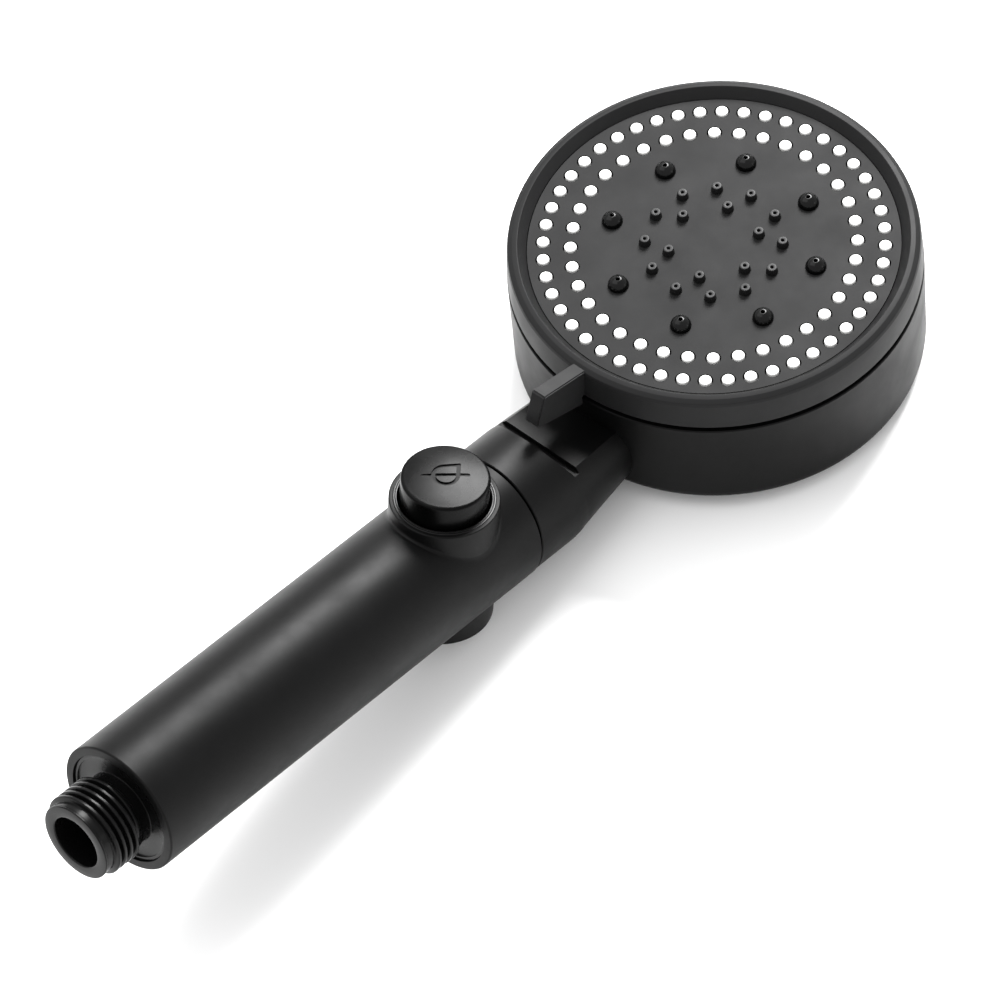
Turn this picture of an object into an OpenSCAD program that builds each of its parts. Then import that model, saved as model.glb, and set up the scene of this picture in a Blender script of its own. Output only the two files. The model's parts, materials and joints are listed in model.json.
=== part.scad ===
// Handheld shower head: a straight grip with a threaded hose inlet, a push-through stop button
// and a round spray head, tilted on a short neck, whose face dial turns to choose the spray.
//
// Two working frames are used.
//   grip frame: origin in the mouth of the hose inlet, +X along the grip, +Z to the button side
//   head frame: origin in the middle of the spray face, +Z out of the face, -X towards the grip
// lay_down() then sets the whole object on its back, where the neck and the far rim touch the floor.

/* [Grip] */
// Radius of the grip sleeve
grip_r = 16.2; // [15.2:0.1:17]
// Wall thickness of the grip sleeve
grip_wall = 2.2; // [1.8:0.1:2.4]
// Distance from the inlet mouth to the end of the sleeve
sleeve_x0 = 13.5; // [13:0.1:15]
// Distance from the inlet mouth to the seam between sleeve and neck
seam_x = 137; // [136:0.5:138]
// Radius of the neck collar just past the seam
collar_r = 16; // [15:0.1:16.4]

/* [Hose inlet] */
// Crest radius of the G 1/2 pipe thread
thread_r = 10.4775; // [10.4:0.0025:10.5]
// Pitch of the G 1/2 pipe thread
thread_pitch = 1.814; // [1.8:0.002:1.82]
// Turns of thread on the spigot
thread_turns = 5; // [3:1:5]
// Radius of the water way through the spigot
inlet_r = 6.5; // [5.5:0.1:7]

/* [Stop button] */
// Distance from the inlet mouth to the button axis
button_x = 120; // [118:0.5:121]
// Radius of the two button caps
cap_r = 10.3; // [9.8:0.05:10.4]
// Height of the front cap above the grip axis
cap_top_z = 26.7; // [26:0.1:28]
// Depth of the rear cap below the grip axis
rear_cap_z = 17.2; // [17:0.1:18]
// Travel of the spool from open to stop
spool_travel = 5; // [4.8:0.1:5]

/* [Spray head] */
// Radius of the head shell
head_r = 49.1; // [48.8:0.1:50.5]
// Height from the spray face to the back of the head
head_h = 34.7; // [34:0.1:36]
// Angle between the spray face and the grip axis
head_tilt = 10.15; // [8:0.05:12]
// Distance of the spray face centre along the grip axis
head_x = 213.45; // [212:0.05:215]
// Height of the spray face centre above the grip axis
head_z = 34.73; // [34:0.01:36]
// Height of the dial's lip above the spray face
lip_h = 2.4; // [1.5:0.1:3]

/* [Nozzles] */
// Nubs in the outer ring of the soft mat
outer_nubs = 48; // [36:1:48]
// Radius of the outer ring of nubs
outer_nub_ring = 40.1; // [39.5:0.1:40.5]
// Nubs in the inner ring of the soft mat
inner_nubs = 36; // [24:1:36]
// Radius of the inner ring of nubs
inner_nub_ring = 33.6; // [33:0.1:34]
// Domed jets
jets = 8; // [6:1:8]
// Radius of the ring of jets
jet_ring = 25; // [24.5:0.1:25.5]
// Triangles of fine nozzles in the middle of the face
mist_groups = 6; // [4:1:6]

/* [Hidden] */
$fn = 96;
eps = 0.01;

// ---- grip, worked out along the grip axis ----
sleeve_in = grip_r - grip_wall;          // inner radius of the sleeve
seam_gap = 0.7;                          // open seam between sleeve and collar
sleeve_x1 = seam_x - seam_gap / 2;
collar_x0 = seam_x + seam_gap / 2;
edge = 0.35;                             // chamfer of the outer edges

// inlet spigot
spigot_root = thread_r - 1.162;          // root radius of the thread
thread_x0 = 2.6;                         // first crest
crest_w = 0.5;                           // flat on each crest
root_w = 0.45;                           // flat between two crests
spigot_face_r = 9.54;                    // outer radius of the sealing face
plug_face_x = sleeve_x0 + 1;             // recessed end face of the plug
plug_x1 = sleeve_x0 + 17;                // inner end of the plug
plug_r = sleeve_in - 0.05;
screen_x0 = 22;                          // seat of the inlet screen
screen_t = 1.2;
screen_r = 8;

// inner pipe
pipe_x0 = screen_x0 + screen_t;
pipe_x1 = 110;
pipe_r = 9;
pipe_bore_r = 7;
pipe_seat_r = 9.1;
pipe_oring_x = [26.5, 106.5];            // middle of each sealing groove

// valve body
body_x0 = 104;
body_r = sleeve_in - 0.1;
well_z = 9.2;                            // flats on which the two bezels stand
valve_bore_r = 6.6;
port_w = 10;                             // water slots beside the spool
port_h = 3;
neck_plug_r = 12.6;                      // screwed end inside the collar
neck_plug_x1 = 146;
stub_r = 7.2;                            // sealed stub in front of the screwed end
stub_x1 = 151;
outlet_r = 5.6;
neck_oring_x = 149;

// bosses and bezels around the caps
boss_r = 12.8;
boss_top_z = grip_r + 3;
boss_bottom_z = grip_r + 0.4;
bezel_out = 11.9;
bezel_in = 10.8;

// caps and spool
cap_edge = 0.75;                         // bevel around a cap's top
cap_wall = 1.5;
cap_roof = 1.7;
cap_skirt_z = well_z + spool_travel + 0.6;
rear_skirt_z = well_z + 0.8;
spool_r = 6.5;
spool_z0 = -12.5;
spool_z1 = 17;
spool_stub_r = 4;
waist_r = 3.2;
waist_z = [-1.9, 1.4];
spool_oring_z = [8, 2.5, -3];
spool_oring_sec = 0.8;                   // section radius
spool_oring_r = valve_bore_r - 0.02 - spool_oring_sec;

// ---- neck ----
bend_x = 150.3;                          // where the neck bends up towards the head
neck_x1 = 172;                           // end of the first taper, at the wall of the head
neck_z1 = 2.7;
neck_r1 = 13.6;
keel = [-8, -29.4];                      // where the second taper dies out, in the head frame
keel_r = 5;
floor_z = 11.7;                          // flat under the lever
step_x = 153.8;                          // a slot runs along the foot of the wall
step_d = 1.3;
wall_top_x = 149;                        // slanted wall at the end of the flat
wall_foot_x = 152.3;
knee_x = 152.3;                          // knee of the water way inside the neck

// ---- head, heights above the spray face ----
seam_h = -6.4;                           // lower edge of the dial
rim_h = -7.8;                            // upper edge of the shell
back_fillet = 3;
shell_wall = 2.4;
shell_floor = 2.5;
duct_h = -23.7;                          // axis of the water duct
duct_r = 7.2;
duct_bore_r = 5.6;
duct_seat_r = 7.4;
hub_r = 12.5;
hub_plate_r = 26;
hub_plate_h = -14.6;                     // running face under the port plate
port_ring = 16;                          // radius at which the water crosses into the dial
column_r = 3.6;
ear_ring = 30;
ear_angles = [45, 135, 270];
ear_h = -19.6;
detent_ring = 22;
detent_step = 12;                        // angle between two spray modes
modes = 5;
ball_r = 1.5;
ball_proud = 0.5;

// dial
face_r = 43.8;
face_t = 2.6;
flange_t = 1.4;
flange_r = 44.8;
skirt_in = 45;
skirt_out = 47.2;
skirt_h = -12.5;
mat_t = 1.6;
mat_h = -face_t - mat_t;
dist_h = [-12, -9.6];                    // base of the distributor
plate_h = [-13.6, -12];                  // port plate under the distributor
plate_r = 40;
pivot_r = 3;
pivot_bore_r = 3.06;
pivot_oring_h = -10.9;
pivot_oring_sec = 0.56;
dial_oring_h = -7.6;
dial_oring_sec = 0.6;
nub_r = 1.45;
nub_top = 0.4;
nub_bore_r = 0.2;
nub_hole_r = 1.85;
jet_r = 2.5;
jet_top = 2.4;
mist_r = 1.45;
mist_phase = 22.4;
mist_inner_ring = 10.8;
mist_outer_ring = 16.15;
mist_spread = 15.1;
lever_w = 3.8;

// ---- how the object lies: the bend of the neck and the far rim of the back touch the floor ----
function head_x_at(a, h) = head_x + a * cos(head_tilt) - h * sin(head_tilt);
function head_z_at(a, h) = head_z + a * sin(head_tilt) + h * cos(head_tilt);
rim_cx = head_x_at(head_r - back_fillet, -head_h + back_fillet);
rim_cz = head_z_at(head_r - back_fillet, -head_h + back_fillet);
rim_dist = norm([rim_cx - bend_x, rim_cz]);
lie_tilt = atan2(rim_cz, rim_cx - bend_x) + asin((collar_r - back_fillet) / rim_dist);
function row_x(x, z) = x * cos(lie_tilt) + z * sin(lie_tilt);
row_x0 = row_x(0, -spigot_face_r);
row_x1 = row_x(head_x_at(head_r, rim_h - 0.25), head_z_at(head_r, rim_h - 0.25));
lift = bend_x * sin(lie_tilt) + collar_r;

module lay_down() {
    translate([-(row_x0 + row_x1) / 2, 0, lift])
        rotate([0, lie_tilt, 0])
            children();
}

module head_frame() {
    translate([head_x, 0, head_z])
        rotate([0, -head_tilt, 0])
            children();
}

// ---- helpers ----
module turned_x(points) {
    // a profile of [x, radius] points turned about the grip axis
    rotate([0, 90, 0])
        rotate_extrude()
            polygon([for (p = points) [p[1], p[0]]]);
}

module rod_x(r, x0, x1) {
    translate([x0, 0, 0])
        rotate([0, 90, 0])
            cylinder(r = r, h = x1 - x0);
}

module tube(r_out, r_in, z0, z1) {
    translate([0, 0, z0])
        difference() {
            cylinder(r = r_out, h = z1 - z0);
            translate([0, 0, -1])
                cylinder(r = r_in, h = z1 - z0 + 2);
        }
}

module rod(r, z0, z1) {
    translate([0, 0, z0])
        cylinder(r = r, h = z1 - z0);
}

module oring(r, sec) {
    rotate_extrude()
        translate([r, 0])
            circle(r = sec, $fn = 24);
}

module oring_x(x, r, sec) {
    translate([x, 0, 0])
        rotate([0, 90, 0])
            oring(r, sec);
}

module at_polar(r, a) {
    rotate([0, 0, a])
        translate([r, 0, 0])
            children();
}

module ring_of(n, r, phase = 0) {
    for (i = [0 : n - 1])
        at_polar(r, phase + i * 360 / n)
            children();
}

module mist_places() {
    for (g = [0 : mist_groups - 1])
        rotate([0, 0, mist_phase + g * 360 / mist_groups]) {
            at_polar(mist_inner_ring, 0) children();
            at_polar(mist_outer_ring, mist_spread) children();
            at_polar(mist_outer_ring, -mist_spread) children();
        }
}

// a helical spring of round wire, ground flat length from z0 to z1
module coil_spring(r, wire, z0, z1, turns) {
    sides = 8;
    rings = turns * 14;
    rise = z1 - z0 - 2 * wire;
    slope = atan2(rise / turns, 2 * PI * r);
    points = [
        for (i = [0 : rings])
            for (j = [0 : sides - 1])
                let (
                    a = 360 * turns * i / rings,
                    b = 360 * j / sides,
                    out = wire * cos(b),
                    up = wire * sin(b)
                )
                [
                    (r + out) * cos(a) + up * sin(slope) * sin(a),
                    (r + out) * sin(a) - up * sin(slope) * cos(a),
                    z0 + wire + rise * i / rings + up * cos(slope)
                ]
    ];
    walls = [
        for (i = [0 : rings - 1])
            for (j = [0 : sides - 1])
                let (k = (j + 1) % sides)
                [i * sides + j, (i + 1) * sides + j, (i + 1) * sides + k, i * sides + k]
    ];
    first = [for (j = [0 : sides - 1]) j];
    last = [for (j = [sides - 1 : -1 : 0]) rings * sides + j];
    polyhedron(points, concat(walls, [first, last]), convexity = 4);
}

// ---- grip pieces ----
module handle_sleeve() {
    color("#26272a")
        difference() {
            union() {
                turned_x([
                    [sleeve_x0, sleeve_in], [sleeve_x0, grip_r - edge], [sleeve_x0 + edge, grip_r],
                    [sleeve_x1 - 0.2, grip_r], [sleeve_x1, grip_r - 0.2], [sleeve_x1, sleeve_in]
                ]);
                translate([button_x, 0, 0]) {
                    rod(boss_r, 9, boss_top_z);
                    rod(boss_r, -boss_bottom_z, -9);
                }
            }
            rod_x(sleeve_in, sleeve_x0 - 1, sleeve_x1 + 1);
            translate([button_x, 0, 0])
                rod(bezel_out, -boss_bottom_z - 1, boss_top_z + 1);
        }
}

module end_plug() {
    groove_x = 26.2;
    half_crest = crest_w / 2;
    flank = (thread_pitch - crest_w - root_w) / 2;
    color("#1e1f22")
        difference() {
            union() {
                turned_x(concat(
                    [[0, inlet_r], [0, spigot_face_r], [0.3, spigot_root + 0.2]],
                    [for (i = [0 : thread_turns - 1]) each
                        let (x = thread_x0 + i * thread_pitch)
                        [
                            [x - half_crest - flank, spigot_root], [x - half_crest, thread_r],
                            [x + half_crest, thread_r], [x + half_crest + flank, spigot_root]
                        ]
                    ],
                    [
                        [plug_face_x - 2.8, spigot_root], [plug_face_x - 2.5, spigot_root - 0.3],
                        [plug_face_x, spigot_root - 0.3], [plug_face_x, inlet_r]
                    ]
                ));
                turned_x([
                    [plug_face_x, inlet_r], [plug_face_x, plug_r - 0.9],
                    [plug_face_x - 0.5, plug_r - 0.9], [plug_face_x - 0.5, plug_r],
                    [plug_x1 - 0.6, plug_r], [plug_x1, plug_r - 0.6], [plug_x1, inlet_r]
                ]);
            }
            rod_x(screen_r, screen_x0, plug_x1 + 1);
            rod_x(pipe_seat_r, pipe_x0, plug_x1 + 1);
            translate([groove_x, 0, 0])
                rotate([0, 90, 0])
                    tube(plug_r + 1, sleeve_in - 1.8, -1.2, 1.2);
        }
}

module plug_oring() {
    color("#101010")
        oring_x(26.2, sleeve_in - 0.9, 0.9);
}

module inlet_screen() {
    color("#b9bcc0")
        difference() {
            rod_x(screen_r, screen_x0, screen_x0 + screen_t);
            for (ring = [0 : 3])
                for (i = [0 : max(1, 6 * ring) - 1])
                    rotate([i * 360 / max(1, 6 * ring), 0, 0])
                        translate([0, 0, ring * 1.75])
                            rod_x(0.6, screen_x0 - 1, screen_x0 + screen_t + 1);
        }
}

module inner_pipe() {
    color("#d9dadc")
        difference() {
            rod_x(pipe_r, pipe_x0, pipe_x1);
            rod_x(pipe_bore_r, pipe_x0 - 1, pipe_x1 + 1);
            for (x = pipe_oring_x)
                translate([x, 0, 0])
                    rotate([0, 90, 0])
                        tube(pipe_r + 1, pipe_r - 1, -0.7, 0.7);
        }
}

module pipe_orings() {
    color("#101010")
        for (x = pipe_oring_x)
            oring_x(x, pipe_seat_r - 0.55, 0.55);
}

module valve_body() {
    color("#c9cbce")
        difference() {
            union() {
                rod_x(body_r, body_x0, sleeve_x1);
                rod_x(collar_r - 1.1, sleeve_x1, collar_x0);
                rod_x(neck_plug_r, collar_x0 - eps, neck_plug_x1);
                rod_x(stub_r, neck_plug_x1 - eps, stub_x1);
            }
            rod_x(pipe_seat_r, body_x0 - 1, pipe_x1);
            translate([(pipe_x1 + button_x) / 2, 0, 0])
                cube([button_x - pipe_x1 + eps, port_w, port_h], center = true);
            translate([button_x + 5, 0, 0])
                cube([10 + eps, port_w, port_h], center = true);
            rod_x(outlet_r, button_x + 9, stub_x1 + 1);
            translate([neck_oring_x, 0, 0])
                rotate([0, 90, 0])
                    tube(stub_r + 1, stub_r - 0.9, -0.8, 0.8);
            translate([button_x, 0, 0]) {
                rod(valve_bore_r, -grip_r, grip_r);
                rod(bezel_out, well_z, grip_r);
                rod(bezel_out, -grip_r, -well_z);
            }
        }
}

module bezel(z0, z1) {
    rotate_extrude()
        polygon([
            [bezel_in, z0], [bezel_out, z0], [bezel_out, z1 - 0.25], [bezel_out - 0.25, z1],
            [bezel_in + 0.25, z1], [bezel_in, z1 - 0.25]
        ]);
}

module front_bezel() {
    color("#2c2d30")
        translate([button_x, 0, 0])
            bezel(well_z, boss_top_z + 0.2);
}

module rear_bezel() {
    color("#2c2d30")
        translate([button_x, 0, 0])
            mirror([0, 0, 1])
                bezel(well_z, boss_bottom_z + 0.2);
}

module neck_oring() {
    color("#101010")
        oring_x(neck_oring_x, duct_seat_r - 0.55, 0.55);
}

// ---- shell of neck and head ----
module taper(p0, r0, p1, r1) {
    // a cone between two [x, z] points
    run = p1 - p0;
    translate([p0[0], 0, p0[1]])
        rotate([0, 90 - atan2(run[1], run[0]), 0])
            cylinder(r1 = r0, r2 = r1, h = norm(run));
}

module neck_solid() {
    difference() {
        union() {
            turned_x([
                [collar_x0, 0], [collar_x0, collar_r - 0.2], [collar_x0 + 0.2, collar_r],
                [bend_x, collar_r], [bend_x, 0]
            ]);
            translate([bend_x, 0, 0])
                sphere(r = collar_r);
            taper([bend_x, 0], collar_r, [neck_x1, neck_z1], neck_r1);
            translate([neck_x1, 0, neck_z1])
                sphere(r = neck_r1);
            taper(
                [neck_x1, neck_z1], neck_r1,
                [head_x_at(keel[0], keel[1]), head_z_at(keel[0], keel[1])], keel_r
            );
        }
        // flat under the lever, with a slanted wall at its end and a slot at the wall's foot
        translate([0, grip_r + 1, 0])
            rotate([90, 0, 0])
                linear_extrude(2 * grip_r + 2)
                    polygon([
                        [wall_top_x - 0.6, collar_r + 1], [wall_foot_x, floor_z - step_d],
                        [step_x, floor_z - step_d], [step_x, floor_z],
                        [head_x, floor_z], [head_x, collar_r + 12], [wall_top_x - 0.6, collar_r + 12]
                    ]);
    }
}

module cup_solid() {
    steps = 6;
    rotate_extrude($fn = 180)
        polygon(concat(
            [[0, -head_h]],
            [for (i = [0 : steps])
                [
                    head_r - back_fillet + back_fillet * sin(i * 90 / steps),
                    -head_h + back_fillet - back_fillet * cos(i * 90 / steps)
                ]
            ],
            [[head_r, rim_h - 0.25], [head_r - 0.25, rim_h], [0, rim_h]]
        ));
}

module head_housing() {
    color("#242528")
        difference() {
            union() {
                neck_solid();
                head_frame() cup_solid();
            }
            rod_x(neck_plug_r, bend_x - collar_r - 1, neck_plug_x1);
            rod_x(duct_seat_r, neck_plug_x1 - eps, knee_x);
            translate([knee_x, 0, 0])
                sphere(r = duct_seat_r);
            head_frame() {
                translate([0, 0, -head_h + shell_floor])
                    difference() {
                        cylinder(r = head_r - shell_wall, h = head_h);
                        for (a = ear_angles)
                            at_polar(ear_ring, a)
                                translate([0, 0, -eps])
                                    tube(3.4, 1.2, 0, ear_h - 2.4 + head_h - shell_floor);
                    }
                translate([0, 0, skirt_h - 0.7])
                    cylinder(r = skirt_out + 0.4, h = 20);
                translate([-64, 0, duct_h])
                    rotate([0, 90, 0])
                        cylinder(r = duct_seat_r, h = 40);
            }
        }
}

module water_duct() {
    tower_r = 6;
    color("#d2d4d6")
        head_frame()
            difference() {
                union() {
                    translate([-63, 0, duct_h])
                        rotate([0, 90, 0])
                            cylinder(r = duct_r, h = 63);
                    rod(hub_r, -head_h + shell_floor, hub_plate_h - 1);
                    rod(hub_plate_r, hub_plate_h - 2.2, hub_plate_h);
                    translate([0, 0, duct_h])
                        rotate([0, 90, 0])
                            cylinder(r = 4.6, h = port_ring);
                    at_polar(port_ring, 0)
                        rod(tower_r, duct_h - 4.6, hub_plate_h);
                    at_polar(detent_ring, 90)
                        rod(3.2, duct_h, hub_plate_h);
                    for (a = ear_angles)
                        rotate([0, 0, a])
                            translate([hub_r - 3, -3.4, ear_h - 2.4])
                                cube([ear_ring - hub_r + 3, 6.8, 2.4]);
                    ears();
                }
                translate([-64, 0, duct_h])
                    rotate([0, 90, 0])
                        cylinder(r = duct_bore_r, h = 58);
                tube(hub_r - 2, column_r, -head_h + shell_floor + 2, hub_plate_h - 4);
                translate([hub_r - 4, 0, duct_h])
                    rotate([0, 90, 0])
                        cylinder(r = 2.6, h = port_ring - hub_r + 4);
                at_polar(port_ring, 0) {
                    rod(2.2, duct_h, hub_plate_h + 1);
                    rod(3.65, hub_plate_h - 7, hub_plate_h + 1);
                }
                at_polar(detent_ring, 90)
                    rod(ball_r + 0.05, hub_plate_h - 7.4, hub_plate_h + 1);
                rod(1.8, hub_plate_h - 12.4, hub_plate_h + 1);
                for (a = ear_angles)
                    at_polar(ear_ring, a)
                        rod(1.3, ear_h - 3, ear_h + 1);
            }
}

module ears() {
    for (a = ear_angles)
        at_polar(ear_ring, a)
            rod(3.4, ear_h - 2.4, ear_h);
}

module duct_screws() {
    color("#a8abb0")
        head_frame()
            for (a = ear_angles)
                at_polar(ear_ring, a)
                    difference() {
                        union() {
                            rod(2.6, ear_h, ear_h + 1.7);
                            rod(1.2, ear_h - 9, ear_h + eps);
                        }
                        for (turn = [0, 90])
                            rotate([0, 0, turn])
                                translate([-1.5, -0.3, ear_h + 0.8])
                                    cube([3, 0.6, 2]);
                    }
}

module port_seal() {
    color("#181818")
        head_frame()
            at_polar(port_ring, 0)
                tube(3.6, 1.9, hub_plate_h - 2.4, plate_h[0] - 0.05);
}

module seal_spring() {
    color("#b0b3b8")
        head_frame()
            at_polar(port_ring, 0)
                coil_spring(2.9, 0.3, hub_plate_h - 7, hub_plate_h - 2.4, 5);
}

module detent_ball() {
    color("#c8cace")
        head_frame()
            at_polar(detent_ring, 90)
                translate([0, 0, plate_h[0] + ball_proud - ball_r])
                    sphere(r = ball_r);
}

module detent_spring() {
    color("#b0b3b8")
        head_frame()
            at_polar(detent_ring, 90)
                coil_spring(1.15, 0.22, hub_plate_h - 7.4, plate_h[0] + ball_proud - 1.75 * ball_r, 6);
}

module pivot_screw() {
    head_z0 = dist_h[1] + 0.8;
    color("#a8abb0")
        head_frame()
            difference() {
                union() {
                    rod(4.6, head_z0, head_z0 + 2);
                    rod(pivot_r, hub_plate_h, head_z0 + eps);
                    rod(1.8, hub_plate_h - 12, hub_plate_h + eps);
                }
                tube(pivot_r + 1, pivot_r - 1.1, pivot_oring_h - 0.7, pivot_oring_h + 0.7);
                for (turn = [0, 90])
                    rotate([0, 0, turn])
                        translate([-2.4, -0.45, head_z0 + 0.9])
                            cube([4.8, 0.9, 2]);
            }
}

module pivot_washer() {
    color("#c8cace")
        head_frame()
            tube(5.5, pivot_r, dist_h[1] + 0.2, dist_h[1] + 0.8);
}

module pivot_oring() {
    color("#101010")
        head_frame()
            translate([0, 0, pivot_oring_h])
                oring(pivot_r + 0.02 - pivot_oring_sec, pivot_oring_sec);
}

// ---- pieces that turn with the dial ----
module mode_dial() {
    color("#2b2c2f")
        head_frame() {
            difference() {
                union() {
                    rotate_extrude($fn = 180)
                        polygon([
                            [face_r + 0.2, 0], [46, lip_h], [47.2, lip_h - 0.25], [48.3, lip_h - 0.8],
                            [48.5, lip_h - 1.5], [head_r - 0.1, seam_h + 0.3], [head_r - 0.4, seam_h],
                            [skirt_out, seam_h], [skirt_out, skirt_h], [skirt_in, skirt_h],
                            [skirt_in, -face_t + flange_t], [face_r + 0.2, -face_t + flange_t]
                        ]);
                    lever();
                }
                translate([0, 0, skirt_h])
                    cylinder(r = skirt_in, h = -skirt_h - face_t + flange_t);
            }
        }
}

module lever() {
    // the top runs nearly parallel to the grip, the nose leans out and the underside slopes back
    translate([0, lever_w / 2, 0])
        rotate([90, 0, 0])
            linear_extrude(lever_w)
                polygon([
                    [-47, 1.5], [-49.2, 2.2], [-60.9, 5.8], [-61.7, 5.8], [-62.2, 5.2],
                    [-65, -1.4], [-64.9, -2.3], [-64.2, -2.9], [-50.3, -8.9],
                    [-49.5, -8.9], [-49.5, seam_h], [-47, seam_h]
                ]);
}

module face_plate() {
    color("#4a4b4e")
        head_frame()
            difference() {
                union() {
                    rod(face_r, -face_t, 0);
                    rod(flange_r, -face_t, -face_t + flange_t);
                }
                ring_of(outer_nubs, outer_nub_ring)
                    rod(nub_hole_r, -face_t - 1, 1);
                ring_of(inner_nubs, inner_nub_ring)
                    rod(nub_hole_r, -face_t - 1, 1);
                ring_of(jets, jet_ring, 180 / jets)
                    rod(jet_r, -face_t - 1, 1);
                mist_places()
                    rod(mist_r, -face_t - 1, 1);
            }
}

module nub() {
    rod(nub_r, -face_t - eps, nub_top - 0.3);
    translate([0, 0, nub_top - 0.3])
        cylinder(r1 = nub_r, r2 = nub_r - 0.3, h = 0.3);
}

module nozzle_mat() {
    color("#f2f2f0")
        head_frame()
            difference() {
                union() {
                    tube(42.7, 29.6, mat_h, -face_t);
                    ring_of(outer_nubs, outer_nub_ring) nub();
                    ring_of(inner_nubs, inner_nub_ring) nub();
                }
                ring_of(outer_nubs, outer_nub_ring)
                    rod(nub_bore_r, mat_h - 1, 1);
                ring_of(inner_nubs, inner_nub_ring)
                    rod(nub_bore_r, mat_h - 1, 1);
            }
}

module jet_insert() {
    color("#0e0e0f")
        head_frame()
            difference() {
                union() {
                    tube(29.2, 20.8, mat_h, -face_t);
                    ring_of(jets, jet_ring, 180 / jets) {
                        rod(jet_r, -face_t - eps, 0.2);
                        intersection() {
                            translate([0, 0, 0.2])
                                sphere(r = jet_r);
                            rod(jet_r + 1, 0.1, jet_top - 0.3);
                        }
                        rod(0.95, 1, jet_top);
                    }
                }
                ring_of(jets, jet_ring, 180 / jets)
                    rod(0.5, mat_h - 1, jet_top + 1);
            }
}

module mist_insert() {
    color("#3c3d40")
        head_frame()
            difference() {
                union() {
                    rod(20.4, mat_h, -face_t);
                    mist_places() {
                        rod(mist_r, -face_t - eps, 0.4);
                        translate([0, 0, 0.4])
                            cylinder(r1 = mist_r, r2 = mist_r - 0.3, h = 1.3);
                    }
                }
                mist_places()
                    rod(0.35, mat_h - 1, 3);
            }
}

module distributor() {
    channel_w = 2.4;
    // how far each mode's channel reaches: fine nozzles, jets or the soft mat
    reach = [36, 25, 18, 25, 36];
    color("#8f9296")
        head_frame()
            difference() {
                union() {
                    rod(flange_r, dist_h[0], dist_h[1]);
                    tube(flange_r, 42.9, dist_h[0], -face_t);
                    tube(29.9, 28.9, dist_h[0], mat_h);
                    tube(21, 20, dist_h[0], mat_h);
                }
                rod(pivot_bore_r, dist_h[0] - 1, 0);
                tube(flange_r + 1, skirt_in - 2 * dial_oring_sec, dial_oring_h - 0.8, dial_oring_h + 0.8);
                for (m = [0 : modes - 1])
                    rotate([0, 0, (m - (modes - 1) / 2) * detent_step]) {
                        translate([port_ring, -channel_w / 2, dist_h[0] - 1])
                            cube([reach[m] - port_ring, channel_w, 2.2]);
                        translate([port_ring, 0, 0])
                            rod(channel_w / 2, dist_h[0] - 1, dist_h[0] + 1.2);
                        translate([reach[m], 0, 0])
                            rod(channel_w / 2, dist_h[0] - 1, 0);
                    }
            }
}

module port_plate() {
    color("#a4a7ab")
        head_frame()
            difference() {
                rod(plate_r, plate_h[0], plate_h[1]);
                rod(pivot_bore_r, plate_h[0] - 1, 0);
                tube(detent_ring + 1.5, detent_ring - 1.5, plate_h[0] - 1, plate_h[0] + ball_proud + 0.15);
                for (m = [0 : modes - 1])
                    rotate([0, 0, (m - (modes - 1) / 2) * detent_step]) {
                        translate([port_ring, 0, 0])
                            rod(1.2, plate_h[0] - 1, 0);
                        at_polar(detent_ring, 90)
                            rod(0.9, plate_h[0] - 1, plate_h[0] + 1.1);
                    }
            }
}

module dial_oring() {
    color("#101010")
        head_frame()
            translate([0, 0, dial_oring_h])
                oring(skirt_in - dial_oring_sec, dial_oring_sec);
}

// ---- pieces that move with the stop button ----
module stop_button() {
    top = cap_top_z;
    color("#303134")
        translate([button_x, 0, 0])
            difference() {
                rotate_extrude()
                    polygon([
                        [0, cap_skirt_z], [cap_r, cap_skirt_z], [cap_r, top - cap_edge - 0.2],
                        [cap_r - 0.12, top - cap_edge + 0.15], [cap_r - cap_edge + 0.2, top - 0.1],
                        [cap_r - cap_edge, top], [0, top]
                    ]);
                tube(cap_r - cap_wall, 5.6, cap_skirt_z - 1, top - cap_roof);
                rod(6.6, cap_skirt_z - 1, spool_z1);
                rod(spool_stub_r, cap_skirt_z - 1, top - cap_roof - 0.6);
            }
}

module valve_spool() {
    color("#e4e4e2")
        translate([button_x, 0, 0])
            difference() {
                union() {
                    rod(spool_r, spool_z0, spool_z1);
                    rod(spool_stub_r, spool_z1 - eps, cap_top_z - cap_roof - 0.6);
                    rod(spool_stub_r, spool_z0 - 2, spool_z0 + eps);
                }
                tube(spool_r + 1, waist_r, waist_z[0], waist_z[1]);
                for (z = spool_oring_z)
                    translate([0, 0, z])
                        tube(spool_r + 1, spool_oring_r - spool_oring_sec, -0.9, 0.9);
            }
}

module spool_orings() {
    color("#101010")
        translate([button_x, 0, 0])
            for (z = spool_oring_z)
                translate([0, 0, z])
                    oring(spool_oring_r, spool_oring_sec);
}

module rear_button() {
    color("#303134")
        translate([button_x, 0, 0])
            mirror([0, 0, 1])
                difference() {
                    rotate_extrude()
                        polygon([
                            [0, rear_skirt_z], [cap_r, rear_skirt_z], [cap_r, rear_cap_z - cap_edge],
                            [cap_r - cap_edge, rear_cap_z], [0, rear_cap_z]
                        ]);
                    rod(cap_r - cap_wall, rear_skirt_z - 1, -spool_z0);
                    rod(spool_stub_r, rear_skirt_z - 1, -spool_z0 + 2);
                }
}

lay_down() {
    handle_sleeve();
    end_plug();
    plug_oring();
    inlet_screen();
    inner_pipe();
    pipe_orings();
    valve_body();
    front_bezel();
    rear_bezel();
    neck_oring();
    head_housing();
    water_duct();
    duct_screws();
    port_seal();
    seal_spring();
    detent_ball();
    detent_spring();
    pivot_screw();
    pivot_washer();
    pivot_oring();
    mode_dial();
    face_plate();
    nozzle_mat();
    jet_insert();
    mist_insert();
    distributor();
    port_plate();
    dial_oring();
    stop_button();
    valve_spool();
    spool_orings();
    rear_button();
}
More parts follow.
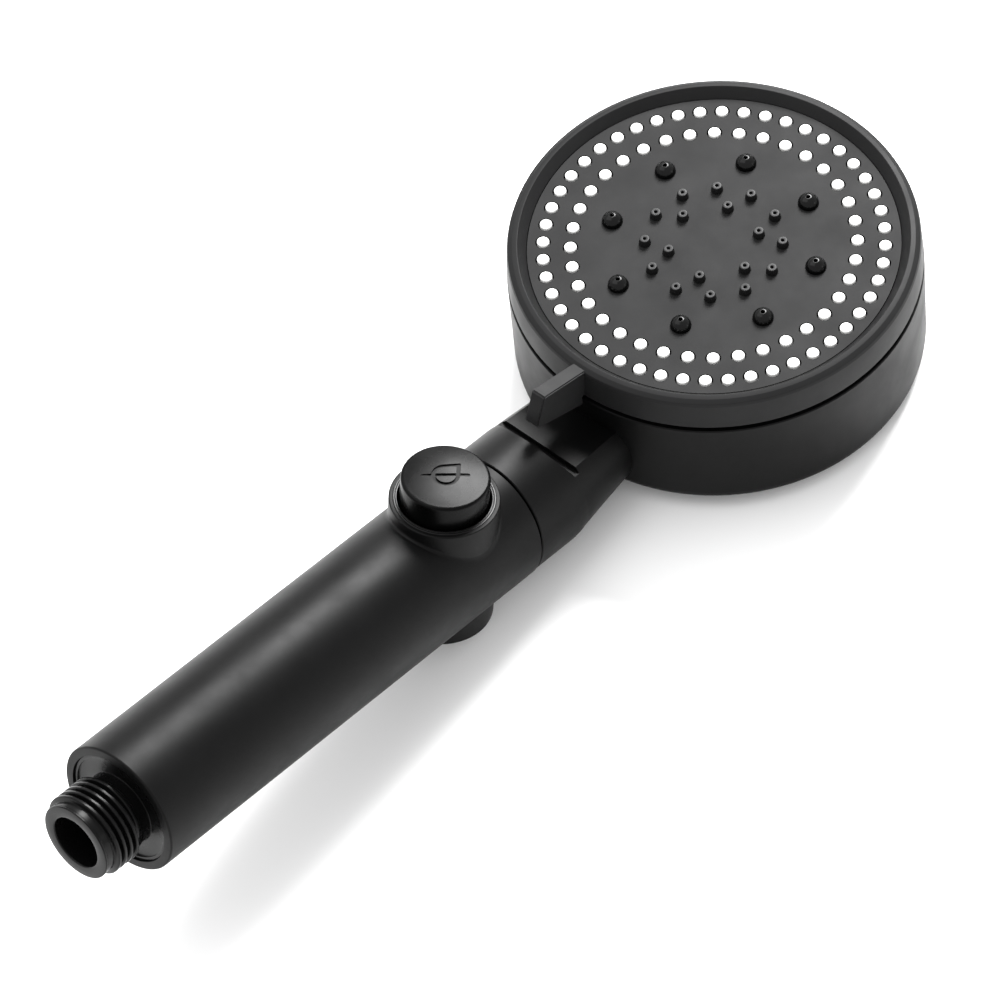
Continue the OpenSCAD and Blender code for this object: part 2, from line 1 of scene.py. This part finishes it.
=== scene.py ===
"""Handheld shower head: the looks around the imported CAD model.

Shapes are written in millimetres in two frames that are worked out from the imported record:
  grip  origin in the inlet mouth, +X along the grip, +Z to the button side
  head  origin in the middle of the spray face, +Z out of the face, -X towards the grip
"""
import json
import math

import bmesh
import bpy
from mathutils import Matrix, Vector


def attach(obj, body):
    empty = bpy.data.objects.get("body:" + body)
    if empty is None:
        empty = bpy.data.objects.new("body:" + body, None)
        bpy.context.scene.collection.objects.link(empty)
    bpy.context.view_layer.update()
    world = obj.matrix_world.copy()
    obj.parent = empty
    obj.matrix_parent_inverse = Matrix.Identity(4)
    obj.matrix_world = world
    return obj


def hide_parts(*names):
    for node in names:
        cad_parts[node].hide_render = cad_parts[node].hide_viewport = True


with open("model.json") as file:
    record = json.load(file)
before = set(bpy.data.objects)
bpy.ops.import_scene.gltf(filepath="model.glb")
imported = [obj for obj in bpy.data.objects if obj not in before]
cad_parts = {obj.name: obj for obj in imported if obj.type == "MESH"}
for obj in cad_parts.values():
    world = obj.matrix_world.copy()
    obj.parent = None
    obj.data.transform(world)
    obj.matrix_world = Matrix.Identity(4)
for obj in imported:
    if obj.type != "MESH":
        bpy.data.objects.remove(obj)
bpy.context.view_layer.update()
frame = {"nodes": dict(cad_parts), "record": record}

MM = 0.001
record = frame["record"]
mounts = {m["name"]: m for m in record["mounts"]}
joints = {j["name"]: j for j in record["behaviour"]["joints"]}


def axes_matrix(x, y, z, origin):
    """Millimetres in a frame with these axes to metres in the row frame."""
    m = Matrix((x, y, z)).transposed().to_4x4() @ Matrix.Scale(MM, 4)
    m.translation = origin
    return m


side = Vector((0, 1, 0))
grip_x = -Vector(mounts["inlet_bore"]["axis"]).normalized()
grip_z = -Vector(joints["button_slide"]["axis"]).normalized()
face_z = Vector(joints["dial_turn"]["axis"]).normalized()
GRIP = axes_matrix(grip_x, side, grip_z, Vector(mounts["inlet_bore"]["pos_m"]))
HEAD = axes_matrix(side.cross(face_z), side, face_z, Vector(joints["dial_turn"]["pos_m"]))

# sizes in millimetres, most of them shared with the CAD model
GRIP_R = 16.2
GRIP_WALL = 2.2
SLEEVE_ENDS = (13.5, 136.65)
BOSS_R = 12.8
WELL_R = 11.9
FRONT_BOSS = GRIP_R + 3
REAR_BOSS = GRIP_R + 0.4
THREAD_R = mounts["hose_thread"]["dims"]["r_mm"]
INLET_R = mounts["inlet_bore"]["dims"]["r_mm"]
PITCH = 1.814
THREAD_DEPTH = 1.162
BUTTON_X = 120
CAP_R = 10.3
CAP_TOP = 26.7
CAP_CROWN = 0.65
REAR_TOP = 17.2
LIP_H = 2.4
SEAM_H = -6.4
SIDE_R = 49.0
NUB_R = 1.45
NUB_TOP = 0.4
NUB_RINGS = ((40.1, 48), (33.6, 36))    # radius and count of each ring
JET_RING_R = 25
JETS = 8
JET_R = 2.5
MIST_GROUPS = 6
MIST_INNER_R = 10.8
MIST_OUTER_R = 16.15
MIST_TURN = 22.4       # degrees from the X axis of the head frame to the first group
MIST_SPREAD = 15.1     # degrees to each side for the two outer nozzles of a group
PLATE_FOOT = -4.2      # back and front of the plates that carry the nozzles
PLATE_TOP = -2.6
NOZZLE_FOOT = -2.7
LEVER_HALF = 1.9
ICON_DEPTH = 0.5
ICON_FLOOR = CAP_TOP - ICON_DEPTH

# corners closer than this are one corner
WELD = 0.0005          # millimetres, in the result of a boolean
MERGE = 1e-7           # metres, in a piece as it is built

BUTTON = GRIP @ Matrix.Translation((BUTTON_X, 0, 0))
REAR = BUTTON @ Matrix.Rotation(math.pi, 4, "X")


# ---------------------------------------------------------------- materials
def principled(name):
    mat = bpy.data.materials.new(name)
    mat.use_nodes = True
    tree = mat.node_tree
    return mat, tree, tree.nodes["Principled BSDF"]


def noise_node(tree, scale, detail=4.0, rough=0.55):
    coords = tree.nodes.new("ShaderNodeTexCoord")
    node = tree.nodes.new("ShaderNodeTexNoise")
    node.inputs["Scale"].default_value = scale
    node.inputs["Detail"].default_value = detail
    node.inputs["Roughness"].default_value = rough
    tree.links.new(coords.outputs["Object"], node.inputs["Vector"])
    return node.outputs["Fac"]


def remap(tree, value, low, high, start=0.3, end=0.7):
    node = tree.nodes.new("ShaderNodeMapRange")
    node.inputs["From Min"].default_value = start
    node.inputs["From Max"].default_value = end
    node.inputs["To Min"].default_value = low
    node.inputs["To Max"].default_value = high
    tree.links.new(value, node.inputs["Value"])
    return node.outputs["Result"]


def blend_colours(tree, factor, a, b):
    node = tree.nodes.new("ShaderNodeMix")
    node.data_type = "RGBA"
    node.inputs["A"].default_value = (*a, 1)
    node.inputs["B"].default_value = (*b, 1)
    tree.links.new(factor, node.inputs["Factor"])
    return node.outputs["Result"]


def moulded(name, grey, rough, grain=2200, grain_depth=0.004, specular=0.5, spread=0.12,
            tint=(1.0, 1.0, 1.02), rough_spread=0.05):
    """Moulded plastic or rubber: fine spark-eroded grain, faint flow clouds and rubbed patches."""
    mat, tree, shader = principled(name)
    base = [grey * t for t in tint]
    clouds = remap(tree, noise_node(tree, 38, 3), 0, 1)
    dark = [c * (1 - spread) for c in base]
    light = [c * (1 + spread) for c in base]
    tree.links.new(blend_colours(tree, clouds, dark, light), shader.inputs["Base Color"])
    rubbed = noise_node(tree, 90, 5, 0.6)
    tree.links.new(
        remap(tree, rubbed, rough - rough_spread, rough + rough_spread), shader.inputs["Roughness"]
    )
    bump = tree.nodes.new("ShaderNodeBump")
    bump.inputs["Strength"].default_value = 0.35
    bump.inputs["Distance"].default_value = grain_depth * MM
    tree.links.new(noise_node(tree, grain, 2, 0.5), bump.inputs["Height"])
    tree.links.new(bump.outputs["Normal"], shader.inputs["Normal"])
    shader.inputs["Specular IOR Level"].default_value = specular
    return mat


def steel(name):
    mat, tree, shader = principled(name)
    streaks = noise_node(tree, 700, 2)
    tree.links.new(
        blend_colours(tree, streaks, (0.50, 0.50, 0.51), (0.66, 0.66, 0.67)),
        shader.inputs["Base Color"],
    )
    tree.links.new(remap(tree, noise_node(tree, 300), 0.2, 0.36), shader.inputs["Roughness"])
    shader.inputs["Metallic"].default_value = 1.0
    return mat


MATS = {
    "grip_black": moulded("grip_black", 0.0014, 0.43, specular=0.096, grain_depth=0.006),
    "plug_black": moulded("plug_black", 0.0018, 0.26, specular=0.105, grain=900),
    "inner_black": moulded("inner_black", 0.003, 0.55, specular=0.1),
    "bezel_black": moulded("bezel_black", 0.0022, 0.30, specular=0.17),
    "cap_black": moulded("cap_black", 0.0007, 0.27, specular=0.066, grain=1600),
    "dial_black": moulded("dial_black", 0.0100, 0.46, specular=0.085, grain_depth=0.006),
    "face_grey": moulded("face_grey", 0.0086, 0.52, specular=0.097, grain_depth=0.008, grain=1500),
    "nub_white": moulded("nub_white", 0.90, 0.5, specular=0.4, spread=0.02, tint=(1, 1, 0.985)),
    "jet_black": moulded("jet_black", 0.0012, 0.2, specular=0.17, grain=500, grain_depth=0.002),
    "mist_grey": moulded("mist_grey", 0.007, 0.40, specular=0.17),
    "natural_plastic": moulded("natural_plastic", 0.68, 0.45, spread=0.04, tint=(1, 1, 0.95)),
    "seal_rubber": moulded("seal_rubber", 0.008, 0.6, specular=0.3, grain=700),
    "stainless": steel("stainless"),
    "icon_dark": moulded("icon_dark", 0.002, 0.5, specular=0.1, grain=1200),
}
SLOT_OF = {s["node"]: s["material_slot"] for s in record["subparts"]}


# ---------------------------------------------------------------- mesh helpers
def change_mesh(mesh, change):
    """Runs a change on the mesh while it is open as a bmesh."""
    bm = bmesh.new()
    bm.from_mesh(mesh)
    change(bm)
    bm.to_mesh(mesh)
    bm.free()


def merge_and_turn_out(bm):
    bmesh.ops.remove_doubles(bm, verts=bm.verts, dist=MERGE)
    bmesh.ops.recalc_face_normals(bm, faces=bm.faces)


def weld_corners(bm):
    bmesh.ops.remove_doubles(bm, verts=bm.verts, dist=WELD)
    bmesh.ops.dissolve_degenerate(bm, edges=bm.edges, dist=WELD)


def mesh_from(verts, faces, place):
    """A mesh in metres from vertices in millimetres in one of the frames."""
    mesh = bpy.data.meshes.new("part")
    mesh.from_pydata([place @ Vector(v) for v in verts], [], faces)
    change_mesh(mesh, merge_and_turn_out)
    return mesh


def boolean(mesh, other, operation):
    """The exact boolean of two meshes, as a new closed mesh."""
    a = bpy.data.objects.new("a", mesh)
    b = bpy.data.objects.new("b", other)
    bpy.context.collection.objects.link(a)
    bpy.context.collection.objects.link(b)
    # metres are too small for the solver's tolerance, so it works on both in millimetres
    scale = Matrix.Scale(1000, 4)
    mesh.transform(scale)
    other.transform(scale)
    mod = a.modifiers.new("cut", "BOOLEAN")
    mod.object = b
    mod.operation = operation
    mod.solver = "EXACT"
    graph = bpy.context.evaluated_depsgraph_get()
    result = bpy.data.meshes.new_from_object(a.evaluated_get(graph))
    change_mesh(result, weld_corners)
    result.transform(scale.inverted())
    bpy.data.objects.remove(a)
    bpy.data.objects.remove(b)
    return result


def adopt(name, mesh, body, mat, nodes=(), sharp=32.0):
    """Makes a mesh a piece: smooth faces, material, body and the nodes it stands for."""
    mesh.name = name
    mesh.polygons.foreach_set("use_smooth", [True] * len(mesh.polygons))
    mesh.set_sharp_from_angle(angle=math.radians(sharp))
    mesh.materials.clear()
    mesh.materials.append(MATS[mat])
    obj = bpy.data.objects.new(name, mesh)
    bpy.context.collection.objects.link(obj)
    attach(obj, body)
    if nodes:
        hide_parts(*nodes)


def make(name, verts, faces, place, body, mat, nodes=(), slot=None, sharp=32.0):
    adopt(name, mesh_from(verts, faces, place), body, mat, nodes, sharp)


def fillet(points, steps=4):
    """Rounds the corners of an outline. Each point is (a, b) or (a, b, radius)."""
    out = []
    n = len(points)
    for i, p in enumerate(points):
        radius = p[2] if len(p) > 2 else 0
        here = Vector(p[:2])
        if not radius:
            out.append(tuple(here))
            continue
        to_prev = Vector(points[i - 1][:2]) - here
        to_next = Vector(points[(i + 1) % n][:2]) - here
        angle = to_prev.angle(to_next)
        cut = radius / math.tan(angle / 2)
        cut = min(cut, 0.49 * to_prev.length, 0.49 * to_next.length)
        radius = cut * math.tan(angle / 2)
        a = here + to_prev.normalized() * cut
        middle = (to_prev.normalized() + to_next.normalized()).normalized()
        centre = here + middle * radius / math.sin(angle / 2)
        start = a - centre
        turn = math.pi - angle
        if start.x * (here - a).y - start.y * (here - a).x < 0:
            turn = -turn
        for k in range(steps + 1):
            t = turn * k / steps
            x = start.x * math.cos(t) - start.y * math.sin(t)
            y = start.x * math.sin(t) + start.y * math.cos(t)
            out.append((centre.x + x, centre.y + y))
    return out


def lathe(profile, sides=192, closed=False):
    """(verts, faces) of an (r, z) profile turned about Z. Points at r = 0 become one vertex."""
    verts, rings, faces = [], [], []
    for r, z in profile:
        if r < 1e-6:
            rings.append([len(verts)] * sides)
            verts.append((0, 0, z))
        else:
            start = len(verts)
            rings.append(list(range(start, start + sides)))
            for i in range(sides):
                a = 2 * math.pi * i / sides
                verts.append((r * math.cos(a), r * math.sin(a), z))
    pairs = list(zip(rings, rings[1:]))
    if closed:
        pairs.append((rings[-1], rings[0]))
    for low, high in pairs:
        for i in range(sides):
            k = (i + 1) % sides
            face = []
            for v in (low[i], low[k], high[k], high[i]):
                if v not in face:
                    face.append(v)
            if len(face) > 2:
                faces.append(face)
    return verts, faces


def along_x(verts):
    """Turns a shape about Z into one about X."""
    return [(z, y, -x) for x, y, z in verts]


def join(parts):
    verts, faces = [], []
    for v, f in parts:
        base = len(verts)
        verts += v
        faces += [[base + i for i in face] for face in f]
    return verts, faces


def moved(part, x, y, z=0.0):
    verts, faces = part
    return [(a + x, b + y, c + z) for a, b, c in verts], faces


def polar(radius, degrees):
    a = math.radians(degrees)
    return radius * math.cos(a), radius * math.sin(a)


def prism(outline, z0, z1):
    """A closed prism over an outline of (x, y) points."""
    n = len(outline)
    verts = [(x, y, z0) for x, y in outline] + [(x, y, z1) for x, y in outline]
    faces = [list(range(n))[::-1], list(range(n, 2 * n))]
    faces += [[i, (i + 1) % n, n + (i + 1) % n, n + i] for i in range(n)]
    return verts, faces


def band(outer, inner, z0, z1):
    """A closed ring between two outlines with as many points each."""
    n = len(outer)
    loops = [(outer, z0), (outer, z1), (inner, z1), (inner, z0)]
    verts = [(x, y, z) for outline, z in loops for x, y in outline]
    faces = []
    for j in range(4):
        m = (j + 1) % 4
        for i in range(n):
            k = (i + 1) % n
            faces.append([j * n + i, j * n + k, m * n + k, m * n + i])
    return verts, faces


# ---------------------------------------------------------------- hose inlet
def thread_radius(x, angle, root, first, turns):
    """Radius of the helical ridge at one place, with rounded crests and faded ends."""
    foot = 0.80     # half the ridge's width at its root
    flank = 0.55
    phase = (x - first) / PITCH - angle / (2 * math.pi)
    nearest = round(phase)
    away = abs(phase - nearest) * PITCH
    ridge = max(0.0, min(1.0, (foot - away) / flank))
    ridge = ridge * ridge * (3 - 2 * ridge)
    along = nearest + angle / (2 * math.pi)
    fade_in = max(0.0, min(1.0, (along + 0.35) / 0.12))
    fade_out = max(0.0, min(1.0, (turns - 0.5 - along) / 0.25))
    return root + (THREAD_R - root) * ridge * fade_in * fade_out


def build_end_plug():
    """Spigot with a helical thread, its sealing face and bore, and the recessed end disc."""
    sides = 200
    root = THREAD_R - THREAD_DEPTH
    root_x = 0.6
    face_r = 9.54
    first = 2.6
    turns = 5
    disc_x = 14.5
    disc_r = 13.05
    groove_r = 13.94
    back = 30
    rows = []
    mouth = fillet([
        (INLET_R, 22), (INLET_R, 0, 0.35), (face_r, 0, 0.3), (root + 0.1, root_x)
    ])
    for r, x in mouth:
        rows.append([(x, r)] * sides)
    steps = 150
    start = root_x + 0.15
    end = 11.7
    for i in range(steps + 1):
        x = start + (end - start) * i / steps
        angles = [2 * math.pi * k / sides for k in range(sides)]
        rows.append([(x, thread_radius(x, a, root, first, turns)) for a in angles])
    tail = fillet([
        (root, end), (root - 0.3, end + 0.3), (root - 0.3, disc_x, 0.25), (disc_r, disc_x, 0.12),
        (disc_r, disc_x - 0.5, 0.1), (groove_r, disc_x - 0.5, 0.1), (groove_r, back)
    ])[1:]
    for r, x in tail:
        rows.append([(x, r)] * sides)
    rows.append([(back, INLET_R)] * sides)
    verts, faces = [], []
    for row in rows:
        for k, (x, r) in enumerate(row):
            a = 2 * math.pi * k / sides
            verts.append((x, r * math.cos(a), r * math.sin(a)))
    for j in range(len(rows)):
        m = (j + 1) % len(rows)
        for k in range(sides):
            q = (k + 1) % sides
            faces.append([j * sides + k, j * sides + q, m * sides + q, m * sides + k])
    make("end_plug_body", verts, faces, GRIP, "shell", "plug_black", ["end_plug"], sharp=40)


# ---------------------------------------------------------------- grip
def sleeve_height(y):
    return math.sqrt(max(GRIP_R * GRIP_R - y * y, 0))


def boss_solid(top, blend, sides=192):
    """Round boss that runs into the grip with a moulded fillet. Z is the boss axis."""
    edge = fillet([(BOSS_R, top - 1.5), (BOSS_R, top, 0.3), (0, top)], 6)
    foot = 8.0      # inside the bar
    sink = 0.04     # takes the edge of the fillet below the bar's surface
    steps = 8
    verts = []
    for i in range(sides):
        a = 2 * math.pi * i / sides
        column = [(0, foot), (BOSS_R + blend, foot)]
        for t in range(steps + 1):
            q = math.radians(90 * t / steps)
            r = BOSS_R + blend * (1 - math.sin(q))
            lift = blend * (1 - math.cos(q)) if t else -sink
            column.append((r, sleeve_height(r * math.sin(a)) + lift))
        column += edge[1:]
        verts += [(r * math.cos(a), r * math.sin(a), z) for r, z in column]
    count = len(verts) // sides
    faces = []
    for i in range(sides):
        k = (i + 1) % sides
        for j in range(count - 1):
            faces.append([i * count + j, k * count + j, k * count + j + 1, i * count + j + 1])
    return verts, faces


def radial_normals(mesh, place, radius):
    """Sets exact normals where a mesh lies on a round bar about the X axis of a frame."""
    near = 0.004          # mm from the bar's surface
    same_way = 0.995      # cosine between the face's own normal and the bar's
    back = place.inverted()
    turn = place.to_3x3().normalized()
    normals = [n.vector.copy() for n in mesh.corner_normals]
    for poly in mesh.polygons:
        for loop in poly.loop_indices:
            at = back @ mesh.vertices[mesh.loops[loop].vertex_index].co
            out = Vector((0, at.y, at.z))
            if abs(out.length - radius) < near:
                out = turn @ out.normalized()
                if out.dot(poly.normal) > same_way:
                    normals[loop] = out
    mesh.normals_split_custom_set(normals)


def build_sleeve():
    """Grip tube with its two bosses, bored along its axis and through the bosses."""
    x0, x1 = SLEEVE_ENDS
    bar = fillet([(0, x0), (GRIP_R, x0, 0.45), (GRIP_R, x1, 0.2), (0, x1)], 5)
    verts, faces = lathe(bar, 360)
    sleeve = mesh_from(along_x(verts), faces, GRIP)
    sleeve = boolean(sleeve, mesh_from(*boss_solid(FRONT_BOSS, 0.7), BUTTON), "UNION")
    sleeve = boolean(sleeve, mesh_from(*boss_solid(REAR_BOSS, 0.3), REAR), "UNION")
    inner = GRIP_R - GRIP_WALL
    bore, bore_faces = lathe([(0, x0 - 1), (inner, x0 - 1), (inner, x1 + 1), (0, x1 + 1)], 180)
    sleeve = boolean(sleeve, mesh_from(along_x(bore), bore_faces, GRIP), "DIFFERENCE")
    reach = 30
    well = lathe([(0, -reach), (WELL_R, -reach), (WELL_R, reach), (0, reach)], 180)
    sleeve = boolean(sleeve, mesh_from(*well, BUTTON), "DIFFERENCE")
    adopt("grip_sleeve", sleeve, "shell", "grip_black", ["handle_sleeve"], sharp=30)
    radial_normals(sleeve, GRIP, GRIP_R)


def build_bezels():
    """Ring in each boss, with a fine groove round its top."""
    inner = 10.8
    outer = WELL_R - 0.02
    foot = 9.25
    proud = 0.2
    for name, place, boss_top in (("front", BUTTON, FRONT_BOSS), ("rear", REAR, REAR_BOSS)):
        top = boss_top + proud
        ring = fillet([
            (inner, foot), (inner, top, 0.2), (11.2, top, 0.1), (11.3, top - 0.12, 0.08),
            (11.42, top, 0.1), (outer, top, 0.18), (outer, foot)
        ])
        make(f"{name}_bezel_ring", *lathe(ring, closed=True), place, "shell", "bezel_black",
             [f"{name}_bezel"])


def drop_outline(radius, tip, count=40):
    """Water drop: a round belly whose sides run straight up to a rounded tip."""
    half = math.acos(radius / tip)
    points = []
    for i in range(count + 1):
        a = math.radians(90) + half + (2 * math.pi - 2 * half) * i / count
        points.append((radius * math.cos(a), radius * math.sin(a)))
    points.append((0.28, tip - 0.75))
    points.append((0, tip - 0.55))
    points.append((-0.28, tip - 0.75))
    return points[::-1]


def crown(rim, height, rise, steps=12):
    """Profile of a shallow dome, from its rim to its middle."""
    return [
        (rim * (1 - t / steps), height + rise * (1 - (1 - t / steps) ** 2))
        for t in range(1, steps + 1)
    ]


def cap_solid(foot, top):
    """Round cap with a rolled shoulder and a shallow dome."""
    shoulder = top - CAP_CROWN
    body = fillet([(0, foot), (CAP_R, foot, 0.2), (CAP_R, shoulder, 0.8), (0, shoulder)], 7)[:-1]
    return lathe(body + crown(body[-1][0], shoulder, CAP_CROWN))


def build_caps():
    """Front cap with its engraved sign, and the plain rear cap."""
    cap_mesh = mesh_from(*cap_solid(14.8, CAP_TOP), BUTTON)
    turned = BUTTON @ Matrix.Rotation(math.radians(-90), 4, "Z")
    outer = drop_outline(3.3, 5.6)
    inner = drop_outline(2.35, 4.1)
    bar_turn = turned @ Matrix.Rotation(math.radians(45), 4, "Z")
    bar = fillet([(-5.6, -0.45, 0.4), (5.6, -0.45, 0.4), (5.6, 0.45, 0.4), (-5.6, 0.45, 0.4)])
    bar_floor = ICON_FLOOR - 0.03
    clear = CAP_TOP + 1
    for part, place in ((band(outer, inner, ICON_FLOOR, clear), turned),
                        (prism(bar, bar_floor, clear), bar_turn)):
        cap_mesh = boolean(cap_mesh, mesh_from(*part, place), "DIFFERENCE")
    adopt("front_cap", cap_mesh, "button", "cap_black", ["stop_button"], sharp=30)
    # dark paint in the floor of the engraving
    drop_paint = ICON_FLOOR + 0.04
    bar_paint = ICON_FLOOR + 0.06
    make("icon_drop", *band(outer, inner, ICON_FLOOR, drop_paint), turned, "button",
         "icon_dark", slot="cap_black")
    make("icon_bar", *prism(bar, bar_floor, bar_paint), bar_turn, "button",
         "icon_dark", slot="cap_black")
    make("rear_cap", *cap_solid(10.0, REAR_TOP), REAR, "button", "cap_black", ["rear_button"])


# ---------------------------------------------------------------- spray face
def nubs():
    for radius, count in NUB_RINGS:
        for k in range(count):
            yield polar(radius, 360 / count * k)


def ring_plate(inner, outer):
    """Flat ring under the nozzles of one kind."""
    corners = [(inner, PLATE_FOOT), (outer, PLATE_FOOT), (outer, PLATE_TOP), (inner, PLATE_TOP)]
    return lathe(corners, 128, True)


def build_mat():
    """Soft mat with two rings of nubs, each with a pinhole."""
    nub = lathe(fillet([
        (0, 0), (0.12, 0), (0.12, NUB_TOP, 0.04), (NUB_R, NUB_TOP, 0.32), (NUB_R, NOZZLE_FOOT),
        (0, NOZZLE_FOOT)
    ], 6), 32)
    parts = [ring_plate(29.6, 42.7)]
    parts += [moved(nub, x, y) for x, y in nubs()]
    make("nozzle_nubs", *join(parts), HEAD, "dial", "nub_white", ["nozzle_mat"])


def build_jets():
    """Ring of domed jets, each with a hole in a small flat."""
    dome = [(0, 0.9), (0.48, 0.9), (0.5, 2.26), (0.56, 2.33), (0.74, 2.33), (0.9, 2.27)]
    for i in range(13):
        a = math.radians(66 - 66 * i / 12)
        dome.append((JET_R * math.cos(a), 0.05 + 2.35 * math.sin(a)))
    dome += [(JET_R, NOZZLE_FOOT), (0, NOZZLE_FOOT)]
    jet = lathe(dome, 56)
    parts = [ring_plate(20.8, 29.2)]
    step = 360 / JETS
    parts += [moved(jet, *polar(JET_RING_R, step * (k + 0.5))) for k in range(JETS)]
    make("jet_domes", *join(parts), HEAD, "dial", "jet_black", ["jet_insert"])


def build_mist():
    """Disc with the fine nozzles, which stand in groups of three."""
    spray = lathe(fillet([
        (0, 0.7), (0.35, 0.7), (0.4, 1.72, 0.1), (1.15, 1.72, 0.15), (1.45, 0.2),
        (1.45, NOZZLE_FOOT), (0, NOZZLE_FOOT)
    ]), 36)
    disc_r = 20.4
    disc = [(0, PLATE_FOOT), (disc_r, PLATE_FOOT), (disc_r, PLATE_TOP), (0, PLATE_TOP)]
    parts = [lathe(disc, 96)]
    for g in range(MIST_GROUPS):
        a = MIST_TURN + 360 / MIST_GROUPS * g
        parts.append(moved(spray, *polar(MIST_INNER_R, a)))
        parts.append(moved(spray, *polar(MIST_OUTER_R, a + MIST_SPREAD)))
        parts.append(moved(spray, *polar(MIST_OUTER_R, a - MIST_SPREAD)))
    make("mist_nozzles", *join(parts), HEAD, "dial", "mist_grey", ["mist_insert"])


def bevel_all(bm):
    bmesh.ops.bevel(bm, geom=bm.edges[:], offset=0.3 * MM, segments=3, affect="EDGES",
                    clamp_overlap=True)


def build_dial():
    """Ring with the raised lip, and the lever seen from the side as an outline."""
    ring = fillet([
        (44, 0.02, 0.04), (46, LIP_H, 0.25), (47.2, LIP_H - 0.2, 0.2), (48.3, LIP_H - 0.8, 0.3),
        (48.55, LIP_H - 1.6, 0.3), (SIDE_R, SEAM_H + 0.15, 0.2), (SIDE_R - 0.4, SEAM_H, 0.1),
        (47.2, SEAM_H), (47.2, -12.5, 0.2), (45, -12.5, 0.2), (45, -1.2), (44, -1.2)
    ])
    make("dial_ring", *lathe(ring, 360, True), HEAD, "dial", "dial_black", ["mode_dial"])
    side_view = [
        (-47, 1.5), (-49.2, 2.2), (-60.9, 5.8), (-61.7, 5.8), (-62.2, 5.2), (-65, -1.4),
        (-64.9, -2.3), (-64.2, -2.9), (-50.3, -8.9), (-49.5, -8.9), (-49.5, SEAM_H), (-47, SEAM_H)
    ]
    verts, faces = prism(side_view, -LEVER_HALF, LEVER_HALF)
    mesh = mesh_from([(x, z, y) for x, y, z in verts], faces, HEAD)
    change_mesh(mesh, bevel_all)
    adopt("dial_lever", mesh, "dial", "dial_black", sharp=40)


# ---------------------------------------------------------------- scene
def area_light(name, at, towards, size, power, size_y=None):
    data = bpy.data.lights.new(name, "AREA")
    data.energy = power
    data.size = size
    if size_y:
        data.shape = "RECTANGLE"
        data.size_y = size_y
    obj = bpy.data.objects.new(name, data)
    obj.location = at
    obj.rotation_euler = (Vector(towards) - Vector(at)).to_track_quat("-Z", "Y").to_euler()
    bpy.context.collection.objects.link(obj)


def build_stage():
    """White floor and surroundings, two softboxes and a low panel."""
    mesh = bpy.data.meshes.new("floor")
    half = 6.0
    mesh.from_pydata([(-half, -half, 0), (half, -half, 0), (half, half, 0), (-half, half, 0)], [],
                     [[0, 1, 2, 3]])
    floor = bpy.data.objects.new("floor", mesh)
    bpy.context.collection.objects.link(floor)
    mat, _, shader = principled("floor_pale")
    shader.inputs["Base Color"].default_value = (0.92, 0.92, 0.92, 1)
    shader.inputs["Roughness"].default_value = 0.7
    shader.inputs["Specular IOR Level"].default_value = 0.1
    mesh.materials.append(mat)
    world = bpy.data.worlds.new("studio")
    world.use_nodes = True
    world.node_tree.nodes["Background"].inputs["Color"].default_value = (1, 1, 1, 1)
    world.node_tree.nodes["Background"].inputs["Strength"].default_value = 1.14
    bpy.context.scene.world = world
    # the big box that makes the long stripe on the grip and the sheen on the face
    area_light("stripe_box", Vector((0.70, 0.27, 0.65)) * 1.55, (0.0, 0, 0.03), 0.62, 58)
    # from the far side, for the white floor and the shadow on the near side
    area_light("far_box", (-0.1, 0.9, 1.8), (0, 0, 0), 2.2, 26, 2.2)
    # low panel on the near side, a faint second line along the grip
    area_light("near_panel", (0.83, -1.25, 0.16), (0, 0, 0.04), 0.25, 1.1, 0.9)
    bpy.context.scene.view_settings.view_transform = "Standard"


def build_camera():
    """Placed in the grip frame, so it keeps its view of the object however the object lies."""
    eye = GRIP @ Vector((-617.5, -609.1, 1019.6))
    look = GRIP @ Vector((136.7, -2.8, 7.8))
    up_hint = GRIP.to_3x3() @ Vector((0.5203, 0.5036, 0.6897))
    forward = (look - eye).normalized()
    right = forward.cross(up_hint).normalized()
    up = right.cross(forward)
    data = bpy.data.cameras.new("camera")
    data.sensor_width = 36
    data.lens = 219.07      # a long lens: the photo has little perspective
    data.clip_end = 30
    cam = bpy.data.objects.new("camera", data)
    cam.matrix_world = Matrix((right, up, -forward)).transposed().to_4x4()
    cam.matrix_world.translation = eye
    bpy.context.collection.objects.link(cam)
    bpy.context.scene.camera = cam


def dress_cad_nodes():
    """Gives every CAD node the material of its slot in the record."""
    for name, obj in frame["nodes"].items():
        obj.data.materials.clear()
        obj.data.materials.append(MATS[SLOT_OF[name]])


build_camera()
build_stage()
dress_cad_nodes()
build_end_plug()
build_sleeve()
build_bezels()
build_caps()
build_mat()
build_jets()
build_mist()
build_dial()
